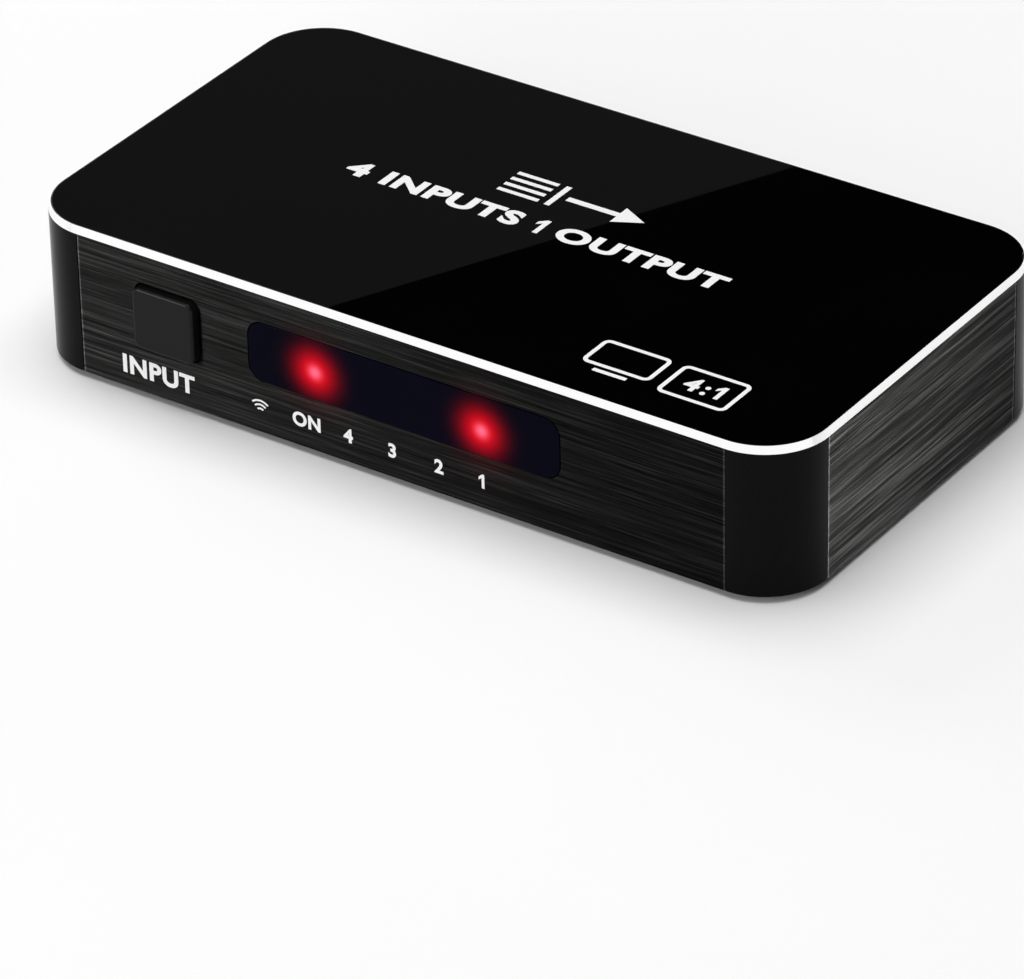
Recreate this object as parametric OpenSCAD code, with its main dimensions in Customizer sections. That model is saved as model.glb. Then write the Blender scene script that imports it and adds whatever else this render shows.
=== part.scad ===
// Four-input video switch box: a low rounded case with brushed side plates, a bright
// bevelled edge and a gloss top. The button and window face -Y, the inputs face +Y,
// the output and the power inlet face -X. Origin: centre of the footprint, on the floor.

/* [Case] */
// Width of the case, left to right
case_w = 100; // [96:1:120]
// Depth of the case, front to back
case_d = 54; // [52:1:70]
// Height of the case without its feet
case_h = 18.4; // [17.8:0.1:24]
// Radius of the upright corners
corner_r = 7.8; // [6.5:0.1:9]
// Thickness of the moulded walls
wall_t = 2; // [1.8:0.1:2.4]
// Thickness of the deck under the gloss top
deck_t = 1.6; // [1.2:0.1:2]
// Thickness of the brushed side plates
plate_t = 0.8; // [0.5:0.1:1]
// Gap at each end of a side plate
plate_gap = 0.05; // [0.02:0.01:0.15]

/* [Top] */
// Height of the bright bevelled edge
trim_h = 0.9; // [0.8:0.1:1.4]
// How far the bevel leans in over its height
trim_bevel = 0.3; // [0.1:0.05:0.5]
// Flat land on top of the bevel
trim_land = 0.15; // [0.1:0.05:0.4]
// Width of the flange under the gloss top
trim_flange_w = 2.2; // [1.5:0.1:3]
// Thickness of that flange, and of the tape inside it
trim_flange_t = 0.3; // [0.2:0.05:0.4]
// Gap round the gloss top and round its tape
top_gap = 0.05; // [0.02:0.01:0.15]

/* [Bottom] */
// Thickness of the bottom cover
cover_t = 1.6; // [1.4:0.1:2]
// Gap round the bottom cover
cover_gap = 0.15; // [0.1:0.05:0.3]
// Height of the feet below the case
foot_h = 0.8; // [0.5:0.1:2]
// Radius of a foot
foot_r = 4; // [3:0.25:5]
// Depth of the pocket that a foot is stuck in
foot_pocket = 0.5; // [0.3:0.1:0.8]
// Gap round a foot in its pocket
foot_gap = 0.1; // [0.05:0.05:0.3]
// Left to right distance between the feet
foot_span_x = 72; // [60:1:74]
// Front to back distance between the feet
foot_span_y = 32; // [24:1:33]
// Radius of the corner bosses
boss_r = 2.7; // [2.5:0.1:2.9]
// Thread radius of the cover screws
cover_screw_r = 1.25; // [1:0.05:1.4]
// Head radius of the cover screws
cover_screw_head_r = 2.3; // [2:0.1:2.5]
// Length of the cover screws
cover_screw_l = 8; // [6:0.5:10]
// Radial clearance round every screw
screw_gap = 0.05; // [0.03:0.01:0.1]

/* [Front] */
// Distance from the case's left end to the button's centre
button_side = 19.9; // [19:0.1:21]
// Height of the button's centre above the case bottom
button_z = 9.95; // [9.5:0.05:10.4]
// Width of the button
button_w = 8.2; // [7.5:0.1:8.6]
// Height of the button
button_h = 7.6; // [7:0.1:8]
// Corner radius of the button
button_r = 0.9; // [0.5:0.1:1.5]
// Gap round the button in its hole
button_gap = 0.2; // [0.15:0.05:0.3]
// How far the button stands out of the front
button_proud = 1; // [0.6:0.1:1]
// Rounding of the button's front edge
button_edge = 0.35; // [0.2:0.05:0.5]
// How far the button's retaining flange reaches past its sides
button_lip = 1.1; // [0.8:0.1:1.3]
// Thickness of that flange
button_lip_t = 0.9; // [0.7:0.1:1]
// Travel of the button
button_travel = 0.3; // [0.2:0.05:0.35]
// Width of the indicator window
window_w = 40.6; // [38:0.1:42]
// Height of the indicator window
window_h = 7.35; // [6.5:0.05:8]
// Corner radius of the window
window_r = 2; // [1:0.1:2.5]
// Distance from the button's centre to the window's centre
window_side = 31.25; // [30.6:0.05:32.1]
// Height of the window's centre above the case bottom
window_z = 10.25; // [10:0.05:10.5]
// Gap round the window in its opening
window_gap = 0.1; // [0.05:0.05:0.2]
// How far the window's flange reaches past its sides
window_lip = 1.2; // [0.8:0.1:1.4]
// Thickness of that flange
window_lip_t = 1; // [0.7:0.1:1]
// Distance between neighbouring indicators
led_pitch = 5.8; // [5.4:0.05:6]
// Distance from the window's centre to the rightmost indicator
led_side = 10.15; // [9.85:0.05:10.45]
// Radius of an indicator's lens
led_r = 1.5; // [1.2:0.05:1.5]

/* [Video ports] */
// Outside width of a video port's metal shell
port_w = 14.8; // [14.6:0.1:15]
// Outside height of a video port's metal shell
port_h = 5.3; // [5.2:0.05:5.5]
// Sheet thickness of the port shells
port_t = 0.4; // [0.3:0.05:0.45]
// Length of a video port
port_l = 11.5; // [10.5:0.1:12]
// Straight part of the port's sides, from its top down
port_side = 3.2; // [3:0.05:3.4]
// Inward reach of the step under the straight sides
port_step_in = 1.4; // [1:0.05:1.6]
// Downward reach of that step
port_step_drop = 0.65; // [0.5:0.05:0.8]
// Inward lean of the last part of the sides, down to the bottom
port_lean = 0.9; // [0.6:0.05:1.1]
// Depth of every port's mouth behind the outer face
port_recess = 0.9; // [0.5:0.1:1.2]
// Gap between a port's shell and its opening
port_gap = 0.45; // [0.3:0.05:0.6]
// Distance from each end of the case to the nearest input's centre
port_side_gap = 18.8; // [18.2:0.1:19.6]
// Height of the inputs' centre above the case bottom
input_z = 8.85; // [8.6:0.05:9.2]
// Distance from the case's front to the output's centre
output_back = 17; // [16.8:0.05:18]
// Height of the output's centre above the case bottom
output_z = 7.2; // [7:0.05:7.5]
// Width of a video port's tongue
tongue_w = 11.2; // [10.8:0.1:11.6]
// Thickness of a video port's tongue
tongue_t = 1.2; // [1:0.05:1.4]
// Height of the tongue's centre above the port's centre
tongue_y = 0.55; // [0.3:0.05:0.7]
// Depth of the tongue's tip behind the port's mouth
tongue_back = 1.2; // [0.7:0.1:1.5]
// Length of the block at the back of a video port
block_l = 3.2; // [2.5:0.1:4]

/* [Power inlet] */
// Outside width of the power inlet's shell
inlet_w = 7.4; // [7.2:0.1:7.6]
// Outside height of the power inlet's shell
inlet_h = 2.6; // [2.5:0.05:2.8]
// Sheet thickness of the power inlet's shell
inlet_t = 0.3; // [0.25:0.05:0.35]
// Length of the power inlet
inlet_l = 5.2; // [4.8:0.1:5.6]
// Sideways reach of the cuts at the inlet's lower corners
inlet_cut_in = 1; // [0.8:0.05:1.2]
// Upward reach of those cuts
inlet_cut_up = 1.1; // [0.9:0.05:1.2]
// Distance from the output's centre back to the power inlet's centre
inlet_back = 16.75; // [16:0.05:17.5]
// Gap between the inlet's shell and its opening
inlet_gap = 0.3; // [0.2:0.05:0.4]

/* [Circuit board] */
// Thickness of the board
board_t = 1.6; // [1.2:0.1:1.6]
// Gap between the board and the walls behind the ports
board_gap = 0.6; // [0.4:0.1:0.8]
// Gap between the board and the front and right walls, which lets it slide in
board_slide = 1.8; // [1.5:0.1:2]
// Radius of the bosses that the board hangs from
stand_r = 2.2; // [1.8:0.1:2.4]
// Thread radius of the board screws
board_screw_r = 1; // [0.8:0.05:1.1]
// Head radius of the board screws
board_screw_head_r = 1.8; // [1.6:0.1:2]
// Length of the board screws under their heads
board_screw_l = 5; // [4:0.5:6]
// Gap between the rear bosses for the board and the ends of the ports
board_screw_gap = 0.6; // [0.4:0.1:1]
// Distance from the case's front to the front board screws
board_screw_front = 15; // [14.5:0.1:15.5]

/* [Hidden] */
$fn = 48;

// Overshoot of a cutting shape past the face that it cuts
cut = 0.5;
// Segments in one rounded corner of an outline
arc_steps = 5;

// Heights, from the floor up
case_z = foot_h;
cover_top = case_z + cover_t;
top_z = case_z + case_h;
rim_z = top_z - trim_h;
deck_z = rim_z - deck_t;
board_top = case_z + input_z - port_h / 2;
board_z = board_top - board_t;
button_cz = case_z + button_z;
window_cz = case_z + window_z;
output_cz = case_z + output_z;
input_cz = case_z + input_z;
inlet_cz = board_top + inlet_h / 2;

// Faces of the case
front_y = -case_d / 2;
rear_y = case_d / 2;
left_x = -case_w / 2;
right_x = case_w / 2;
front_inside = front_y + wall_t;
flat_w = case_w - 2 * corner_r;
flat_d = case_d - 2 * corner_r;

// Places of the controls and the ports on those faces
button_x = left_x + button_side;
window_x = button_x + window_side;
led_x = window_x + led_side;
port_pitch = (case_w - 2 * port_side_gap) / 3;
output_y = front_y + output_back;
inlet_y = output_y + inlet_back;

// Corner bosses run into the walls by a little
boss_bite = 0.3;
boss_reach = (corner_r - wall_t + boss_bite - boss_r) / sqrt(2);
boss_x = case_w / 2 - corner_r + boss_reach;
boss_y = case_d / 2 - corner_r + boss_reach;
screw_head_t = cover_screw_head_r - cover_screw_r;
cross_w = 0.5;
cross_l = 2.4;
cross_depth = 0.7;

// Board outline
board_left = left_x + wall_t + board_gap;
board_right = right_x - wall_t - board_slide;
board_front = front_inside + board_slide;
board_rear = rear_y - wall_t - board_gap;
notch_gap = 0.5;
lead_r = 0.25;
lead_gap = 0.15;
lead_out = 0.8;

// Switch behind the button
switch_w = 6.2;
switch_d = 3;
switch_sheet = 0.3;
switch_well_r = 2.6;
dome_r = 2.4;
dome_t = 0.1;
dome_h = button_travel + dome_t;
dome_steps = 12;
plunger_r = 1.7;
plunger_lip_r = 2.35;
plunger_lip_t = 0.6;
plunger_l = 2;
plunger_gap = 0.15;
touch_gap = 0.05;
switch_well_d = plunger_lip_t + dome_h + 2 * touch_gap;
switch_bottom = button_cz - switch_w / 2;
stem_reach = 4.95;
stem_end = front_inside + stem_reach;
plunger_tip = stem_end + touch_gap;
switch_front = plunger_tip + plunger_l - touch_gap;
switch_face = switch_front - switch_sheet;
switch_rear = switch_front + switch_d;
stem_r = 2;
switch_leg_w = 1.2;

// Indicators
led_lens_l = 3.8;
led_rim = 0.4;
led_rim_t = 1;
led_holder_w = 4.8;
led_holder_d = 4;
led_holder_top = 2.6;
led_slack = 0.05;
led_pins = 1.27;
led_bend = 0.7;
led_back = 7.5;
led_holder_rear = front_inside + led_back;
eye_x = led_x - 5 * led_pitch;
eye_w = 5.2;
eye_h = 6;
eye_d = 3;
eye_r = 2;
eye_pitch = 2;

// Video port contacts, in two staggered rows
contact_w = 0.36;
contact_t = 0.15;
contact_pitch = 1;
contact_rows = [10, 9];
contact_tip = 0.6;
contact_tail = 0.5;
leg_l = 2;
leg_at = [-3.2, -9];
wing_w = 1;
leg_gap = 0.15;
tab_x = 2.6;
tab_w = 2;
tab_t = 0.2;
tab_root = -1.2;
tab_crest = -5;
tab_tip = -6;
tab_rise = 0.5;

// Rows of board screws: one behind the indicators, one ahead of the ports
port_end = rear_y - port_recess - port_l - contact_tail;
board_screw_ys = [front_y + board_screw_front, port_end - board_screw_gap - stand_r];

// Power inlet contacts
inlet_tongue_w = 3.7;
inlet_tongue_t = 0.55;
inlet_tongue_y = 0.35;
inlet_tongue_back = 0.8;
inlet_block_l = 1.4;
inlet_contacts = 5;
inlet_contact_pitch = 0.65;

function unit(v) = v / norm(v);
function polar(r, angle) = r * [cos(angle), sin(angle)];

// Outward normal of the edge from p to q of a counterclockwise outline
function edge_normal(p, q) = unit([q.y - p.y, p.x - q.x]);

// An outline of [x, y, radius] corners with every edge moved outwards by d
function grown(points, d) = [
    for (i = [0:len(points) - 1])
        let (
            n = len(points),
            before = points[(i + n - 1) % n],
            here = points[i],
            after = points[(i + 1) % n],
            a = edge_normal(before, here),
            b = edge_normal(here, after),
            shift = (a + b) * d / (1 + a * b)
        )
        [here.x + shift.x, here.y + shift.y, here.z]
];

// Points on the rounding of corner b between its neighbours a and c
function corner_arc(a, b, c, r) =
    let (
        u = unit(a - b),
        v = unit(c - b),
        half = acos(u * v) / 2,
        centre = b + unit(u + v) * r / sin(half),
        from = b + u * r / tan(half) - centre,
        to = b + v * r / tan(half) - centre,
        start = atan2(from.y, from.x),
        turn = (atan2(to.y, to.x) - start + 540) % 360 - 180
    )
    [for (i = [0:arc_steps]) centre + polar(r, start + turn * i / arc_steps)];

// The plain points of an outline of [x, y, radius] corners
function rounded(points) = [
    for (i = [0:len(points) - 1])
        let (
            n = len(points),
            before = points[(i + n - 1) % n],
            here = points[i],
            after = points[(i + 1) % n]
        )
        each corner_arc([before.x, before.y], [here.x, here.y], [after.x, after.y], here.z)
];

// A right half of an outline, from the bottom up, joined to its mirror image
function both_halves(half) =
    concat(half, [for (i = [len(half) - 1:-1:0]) [-half[i].x, half[i].y, half[i].z]]);

port_side_low = port_h / 2 - port_side;
port_right = [
    [port_w / 2 - port_step_in - port_lean, -port_h / 2, 0.5],
    [port_w / 2 - port_step_in, port_side_low - port_step_drop, 0.5],
    [port_w / 2, port_side_low, 0.6],
    [port_w / 2, port_h / 2, 0.6]
];
port_corners = both_halves(port_right);

inlet_right = [
    [inlet_w / 2 - inlet_cut_in, -inlet_h / 2, 0.4],
    [inlet_w / 2, inlet_cut_up - inlet_h / 2, 0.4],
    [inlet_w / 2, inlet_h / 2, 0.35]
];
inlet_corners = both_halves(inlet_right);

function input_x(i) = (2.5 - i) * port_pitch;
function indicator_x(i) = led_x - (i - 1) * led_pitch;

// Rounded rectangle of true arcs, centred
module round_rect(w, d, r) {
    square([w - 2 * r, d], center = true);
    square([w, d - 2 * r], center = true);
    for (x = [-1, 1], y = [-1, 1])
        translate([x * (w / 2 - r), y * (d / 2 - r)])
            circle(r);
}

// The case outline moved in by a distance, between two heights
module case_block(inset, low, high) {
    translate([0, 0, low])
        linear_extrude(high - low)
            round_rect(case_w - 2 * inset, case_d - 2 * inset, corner_r - inset);
}

module port_shape(grow) {
    polygon(rounded(grown(port_corners, grow)));
}

module inlet_shape(grow) {
    polygon(rounded(grown(inlet_corners, grow)));
}

// Extrudes a shape outwards from a depth behind the front face
module from_front(x, z, depth, length) {
    translate([x, front_y + depth, z])
        rotate([90, 0, 0])
            linear_extrude(length)
                children();
}

// Puts a port on the rear wall or the left wall, with its mouth along local +Z
module at_rear(x, z) {
    translate([x, rear_y - port_recess, z])
        rotate([90, 0, 180])
            children();
}

module at_left(y, z) {
    translate([left_x + port_recess, y, z])
        rotate([90, 0, -90])
            children();
}

// A shape carried straight along local Z between two depths
module bar_between(low, high) {
    translate([0, 0, low])
        linear_extrude(high - low)
            children();
}

// Sweeps a profile round the case outline, with x measured from the corner centres
module round_the_case() {
    for (side = [0:3]) {
        run = side % 2 == 0 ? case_w : case_d;
        reach = side % 2 == 0 ? case_d : case_w;
        rotate(side * 90)
            translate([corner_r - run / 2, reach / 2 - corner_r, 0])
                rotate([90, 0, 90])
                    linear_extrude(run - 2 * corner_r)
                        children();
        rotate(side * 90)
            translate([run / 2 - corner_r, reach / 2 - corner_r, 0])
                rotate_extrude(angle = 90)
                    children();
    }
}

// Openings for the controls, the ports and the inlet, through wall and plate alike
module front_openings() {
    from_front(button_x, button_cz, wall_t + cut, wall_t + 2 * cut)
        round_rect(button_w + 2 * button_gap, button_h + 2 * button_gap, button_r + button_gap);
    from_front(window_x, window_cz, wall_t + cut, wall_t + 2 * cut)
        round_rect(window_w + 2 * window_gap, window_h + 2 * window_gap, window_r + window_gap);
}

module rear_openings() {
    for (i = [1:4])
        at_rear(input_x(i), input_cz)
            bar_between(port_recess - wall_t - cut, port_recess + cut)
                port_shape(port_gap);
}

module left_openings() {
    at_left(output_y, output_cz)
        bar_between(port_recess - wall_t - cut, port_recess + cut)
            port_shape(port_gap);
    at_left(inlet_y, inlet_cz)
        bar_between(port_recess - wall_t - cut, port_recess + cut)
            inlet_shape(inlet_gap);
}

module at_corners(x, y) {
    for (i = [-1, 1], j = [-1, 1])
        translate([i * x, j * y, 0])
            children();
}

// The board screws are in line with the gaps between the outer inputs
module at_board_screws() {
    for (i = [-1, 1], y = board_screw_ys)
        translate([i * port_pitch, y, 0])
            children();
}

// Shallow beds in the four flat sides for the brushed plates
module plate_beds() {
    bed_t = plate_t + cut;
    bed_h = case_h + 2 * cut;
    middle = case_z + case_h / 2;
    for (s = [-1, 1]) {
        translate([0, s * (case_d / 2 + cut - bed_t / 2), middle])
            cube([flat_w, bed_t, bed_h], center = true);
        translate([s * (case_w / 2 + cut - bed_t / 2), 0, middle])
            cube([bed_t, flat_d, bed_h], center = true);
    }
}

module housing_shell() {
    color("#141414")
        difference() {
            union() {
                difference() {
                    case_block(0, case_z, rim_z);
                    case_block(wall_t, case_z - cut, deck_z);
                    plate_beds();
                }
                at_corners(boss_x, boss_y)
                    translate([0, 0, cover_top])
                        cylinder(r = boss_r, h = deck_z - cover_top + deck_t / 2);
                at_board_screws()
                    translate([0, 0, board_top])
                        cylinder(r = stand_r, h = deck_z - board_top + deck_t / 2);
            }
            at_corners(boss_x, boss_y)
                translate([0, 0, cover_top - cut])
                    cylinder(r = cover_screw_r + screw_gap, h = cover_screw_l + cut);
            at_board_screws()
                translate([0, 0, board_top - cut])
                    cylinder(r = board_screw_r + screw_gap, h = board_screw_l + cut);
            front_openings();
            rear_openings();
            left_openings();
        }
}

// A side plate of a given width, lying along X on the face at +Y
module side_plate(w, face) {
    translate([plate_gap - w / 2, face - plate_t, case_z])
        cube([w - 2 * plate_gap, plate_t, rim_z - case_z]);
}

module front_plate() {
    color("#2c2c2b")
        difference() {
            rotate(180)
                side_plate(flat_w, case_d / 2);
            front_openings();
        }
}

module rear_plate() {
    color("#2c2c2b")
        difference() {
            side_plate(flat_w, case_d / 2);
            rear_openings();
        }
}

module left_plate() {
    color("#2c2c2b")
        difference() {
            rotate(90)
                side_plate(flat_d, case_w / 2);
            left_openings();
        }
}

module right_plate() {
    color("#2c2c2b")
        rotate(-90)
            side_plate(flat_d, case_w / 2);
}

module trim_ring() {
    land = trim_bevel + trim_land;
    color("#e8e8e8")
        round_the_case()
            polygon([
                [corner_r, rim_z],
                [corner_r - trim_bevel, top_z],
                [corner_r - land, top_z],
                [corner_r - land, rim_z + trim_flange_t],
                [corner_r - trim_flange_w, rim_z + trim_flange_t],
                [corner_r - trim_flange_w, rim_z]
            ]);
}

module top_panel() {
    color("#070708")
        case_block(trim_bevel + trim_land + top_gap, rim_z + trim_flange_t, top_z);
}

module top_panel_tape() {
    color("#8a8a82")
        case_block(trim_flange_w + top_gap, rim_z, rim_z + trim_flange_t);
}

module bottom_cover() {
    color("#1a1a1a")
        difference() {
            case_block(wall_t + cover_gap, case_z, cover_top);
            at_corners(boss_x, boss_y) {
                translate([0, 0, case_z - cut])
                    cylinder(r = cover_screw_r + screw_gap, h = cover_t + 2 * cut);
                translate([0, 0, case_z])
                    cylinder(
                        r1 = cover_screw_head_r + screw_gap,
                        r2 = cover_screw_r + screw_gap,
                        h = screw_head_t
                    );
            }
            at_corners(foot_span_x / 2, foot_span_y / 2)
                translate([0, 0, case_z - cut])
                    cylinder(r = foot_r + foot_gap, h = foot_pocket + cut);
        }
}

// Two crossed slots cut upwards into a screw head that faces down
module cross_recess(z, depth) {
    for (turn = [0, 90])
        rotate(turn)
            translate([-cross_l / 2, -cross_w / 2, z - cut])
                cube([cross_l, cross_w, depth + cut]);
}

module cover_screws() {
    color("#9a9a9a")
        at_corners(boss_x, boss_y)
            difference() {
                union() {
                    translate([0, 0, case_z])
                        cylinder(r1 = cover_screw_head_r, r2 = cover_screw_r, h = screw_head_t);
                    translate([0, 0, case_z + screw_head_t / 2])
                        cylinder(r = cover_screw_r, h = cover_screw_l - screw_head_t / 2);
                }
                cross_recess(case_z, cross_depth);
            }
}

module rubber_feet() {
    edge = foot_h / 2;
    foot_top = foot_h + foot_pocket;
    color("#202020")
        at_corners(foot_span_x / 2, foot_span_y / 2)
            rotate_extrude()
                polygon([
                    [0, 0],
                    [foot_r - edge, 0],
                    [foot_r, edge],
                    [foot_r, foot_top],
                    [0, foot_top]
                ]);
}

module indicator_window() {
    color("#0c0a18") {
        from_front(window_x, window_cz, wall_t, wall_t)
            round_rect(window_w, window_h, window_r);
        from_front(window_x, window_cz, wall_t + window_lip_t, window_lip_t)
            round_rect(window_w + 2 * window_lip, window_h + 2 * window_lip, window_r + window_lip);
    }
}

module select_button() {
    lip_front = wall_t + touch_gap;
    lip_back = lip_front + button_lip_t;
    color("#262626") {
        hull() {
            from_front(button_x, button_cz, lip_front, lip_front + button_proud - button_edge)
                round_rect(button_w, button_h, button_r, $fn = 32);
            from_front(button_x, button_cz, lip_front, lip_front + button_proud)
                round_rect(button_w - 2 * button_edge, button_h - 2 * button_edge, button_r, $fn = 32);
        }
        from_front(button_x, button_cz, lip_back, button_lip_t)
            round_rect(button_w + 2 * button_lip, button_h + 2 * button_lip, button_r);
        from_front(button_x, button_cz, stem_end - front_y, stem_end - front_y - lip_front)
            circle(stem_r);
    }
}

// Board holes for one port's legs, with its mouth along local +Z and the board below it
module leg_slots(drop) {
    for (i = [-1, 1], z = leg_at)
        translate([
            i * (port_w / 2 - port_t / 2) - port_t / 2 - leg_gap,
            -drop - board_t - cut,
            z - leg_l / 2 - leg_gap
        ])
            cube([port_t + 2 * leg_gap, board_t + 2 * cut, leg_l + 2 * leg_gap]);
}

module lead_hole(x, y) {
    translate([x, y, board_z - cut])
        cylinder(r = lead_r + lead_gap, h = board_t + 2 * cut);
}

module circuit_board() {
    notch_x = boss_x - boss_r - notch_gap;
    notch_y = boss_y - boss_r - notch_gap;
    color("#0f5a35")
        difference() {
            translate([board_left, board_front, board_z])
                cube([board_right - board_left, board_rear - board_front, board_t]);
            for (i = [-1, 1], j = [-1, 1])
                translate([i * (notch_x + corner_r), j * (notch_y + corner_r), board_z + board_t / 2])
                    cube([2 * corner_r, 2 * corner_r, board_t + 2 * cut], center = true);
            at_board_screws()
                translate([0, 0, board_z - cut])
                    cylinder(r = board_screw_r + screw_gap, h = board_t + 2 * cut);
            for (i = [1:4])
                at_rear(input_x(i), input_cz)
                    leg_slots(port_h / 2);
            translate([
                left_x,
                output_y - port_w / 2 - leg_gap,
                board_z - cut
            ])
                cube([port_recess + port_l + leg_gap, port_w + 2 * leg_gap, board_t + 2 * cut]);
            for (i = [1:5], p = [-1, 1])
                lead_hole(indicator_x(i) + p * led_pins, led_holder_rear + led_rim_t + led_bend);
            for (p = [-1:1])
                lead_hole(eye_x + p * eye_pitch, led_holder_rear - eye_d / 2);
            for (p = [-1, 1])
                translate([
                    button_x + p * (switch_w / 2 + switch_sheet / 2) - switch_sheet / 2 - lead_gap,
                    switch_face - lead_gap,
                    board_z - cut
                ])
                    cube([switch_sheet + 2 * lead_gap, switch_leg_w + 2 * lead_gap, board_t + 2 * cut]);
        }
}

module board_screws() {
    head_t = board_screw_head_r - board_screw_r / 2;
    color("#b5b5b0")
        at_board_screws()
            difference() {
                union() {
                    translate([0, 0, board_z - head_t])
                        cylinder(r = board_screw_head_r, h = head_t);
                    translate([0, 0, board_z - head_t / 2])
                        cylinder(r = board_screw_r, h = board_screw_l + head_t / 2);
                }
                cross_recess(board_z - head_t, cross_depth);
            }
}

// Stamped shell of a video port: a stepped tube with two spring tabs on its floor
module port_tube() {
    floor_y = port_t - port_h / 2;
    difference() {
        bar_between(-port_l, 0)
            port_shape(0);
        bar_between(-port_l - cut, cut)
            port_shape(-port_t);
    }
    for (s = [-1, 1])
        translate([s * tab_x, floor_y, 0])
            rotate([0, -90, 0])
                linear_extrude(tab_w, center = true)
                    polygon([
                        [tab_root, -port_t / 2],
                        [tab_root, 0],
                        [tab_crest, tab_rise],
                        [tab_tip, tab_rise / 2],
                        [tab_tip, tab_rise / 2 - tab_t],
                        [tab_crest, tab_rise - tab_t],
                        [tab_root - tab_t, -port_t / 2]
                    ]);
}

// Contact bars: two staggered rows along the tongue, out of the block and down to the board
module port_contact_bars(drop) {
    for (row = [0, 1], i = [0:contact_rows[row] - 1]) {
        x = (i - (contact_rows[row] - 1) / 2) * contact_pitch;
        y = tongue_y + (row == 0 ? tongue_t / 2 - contact_t : -tongue_t / 2);
        translate([x - contact_w / 2, y, -port_l - contact_tail])
            cube([contact_w, contact_t, port_l + contact_tail - tongue_back - contact_tip]);
        translate([x - contact_w / 2, -drop, -port_l - contact_tail])
            cube([contact_w, drop + y + contact_t, contact_t]);
    }
}

module port_block(drop) {
    difference() {
        union() {
            bar_between(-port_l, block_l - port_l)
                port_shape(-port_t);
            bar_between(-port_l + block_l / 2, -tongue_back)
                translate([0, tongue_y])
                    square([tongue_w, tongue_t], center = true);
        }
        port_contact_bars(drop);
    }
}

module input_port_shell(i) {
    color("#d9d9d6")
        at_rear(input_x(i), input_cz) {
            port_tube();
            for (s = [-1, 1], z = leg_at)
                translate([
                    s * (port_w / 2 - port_t / 2) - port_t / 2,
                    -port_h / 2 - board_t - lead_out,
                    z - leg_l / 2
                ])
                    cube([port_t, board_t + lead_out + port_side, leg_l]);
        }
}

module input_port_insulator(i) {
    color("#151515")
        at_rear(input_x(i), input_cz)
            port_block(port_h / 2);
}

module input_port_contacts(i) {
    color("#d8b65c")
        at_rear(input_x(i), input_cz)
            port_contact_bars(port_h / 2);
}

// The output sits in a notch of the board and rests on it with four side wings
module output_port_shell() {
    drop = output_cz - board_top;
    color("#d9d9d6")
        at_left(output_y, output_cz) {
            port_tube();
            for (s = [-1, 1], z = leg_at)
                translate([s * (port_w - port_t + wing_w) / 2, port_t / 2 - drop, z])
                    cube([port_t + wing_w, port_t, leg_l], center = true);
        }
}

module output_port_insulator() {
    color("#151515")
        at_left(output_y, output_cz)
            port_block(output_cz - board_top);
}

module output_port_contacts() {
    color("#d8b65c")
        at_left(output_y, output_cz)
            port_contact_bars(output_cz - board_top);
}

module inlet_contact_bars() {
    for (i = [0:inlet_contacts - 1]) {
        x = (i - (inlet_contacts - 1) / 2) * inlet_contact_pitch;
        y = inlet_tongue_y - inlet_tongue_t / 2;
        translate([x - contact_w / 2, y, -inlet_l - contact_tail])
            cube([contact_w, contact_t, inlet_l + contact_tail - inlet_tongue_back - contact_tip]);
        translate([x - contact_w / 2, -inlet_h / 2, -inlet_l - contact_tail])
            cube([contact_w, inlet_h / 2 + y + contact_t, contact_t]);
    }
}

module power_port_shell() {
    color("#bdbdb8")
        at_left(inlet_y, inlet_cz)
            difference() {
                bar_between(-inlet_l, 0)
                    inlet_shape(0);
                bar_between(-inlet_l - cut, cut)
                    inlet_shape(-inlet_t);
            }
}

module power_port_insulator() {
    color("#151515")
        at_left(inlet_y, inlet_cz)
            difference() {
                union() {
                    bar_between(-inlet_l, inlet_block_l - inlet_l)
                        inlet_shape(-inlet_t);
                    bar_between(-inlet_l + inlet_block_l / 2, -inlet_tongue_back)
                        translate([0, inlet_tongue_y])
                            square([inlet_tongue_w, inlet_tongue_t], center = true);
                }
                inlet_contact_bars();
            }
}

module power_port_contacts() {
    color("#d8b65c")
        at_left(inlet_y, inlet_cz)
            inlet_contact_bars();
}

// A round shape pushed backwards from a place behind the front
module behind_front(y, length) {
    translate([button_x, y + length, button_cz])
        rotate([90, 0, 0])
            linear_extrude(length)
                children();
}

module switch_base() {
    color("#1b1b1b")
        difference() {
            union() {
                translate([button_x - switch_w / 2, switch_front, switch_bottom])
                    cube([switch_w, switch_d, switch_w]);
                translate([button_x - switch_w / 2, switch_front, board_top])
                    cube([switch_w, switch_d, switch_bottom - board_top + switch_w / 2]);
            }
            behind_front(switch_front - cut, switch_well_d + cut)
                circle(switch_well_r);
        }
}

module switch_cover() {
    color("#c4c4c0")
        difference() {
            union() {
                translate([button_x - switch_w / 2 - switch_sheet, switch_face, switch_bottom])
                    cube([switch_w + 2 * switch_sheet, switch_sheet, switch_w]);
                for (p = [-1, 1])
                    translate([
                        button_x + p * (switch_w / 2 + switch_sheet / 2) - switch_sheet / 2,
                        switch_face,
                        board_z - lead_out
                    ])
                        cube([switch_sheet, switch_leg_w, button_cz - board_z + lead_out]);
            }
            behind_front(switch_face - cut, switch_sheet + 2 * cut)
                circle(plunger_r + plunger_gap);
        }
}

// Points of a shallow arc that rises from zero at the radius r to a height at the axis
function dome_arc(r, h) =
    let (ball = (r * r + h * h) / (2 * h), half = asin(r / ball))
    [for (i = [0:dome_steps]) let (p = polar(ball, 90 - half * i / dome_steps)) [p.x, h - ball + p.y]];

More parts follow.
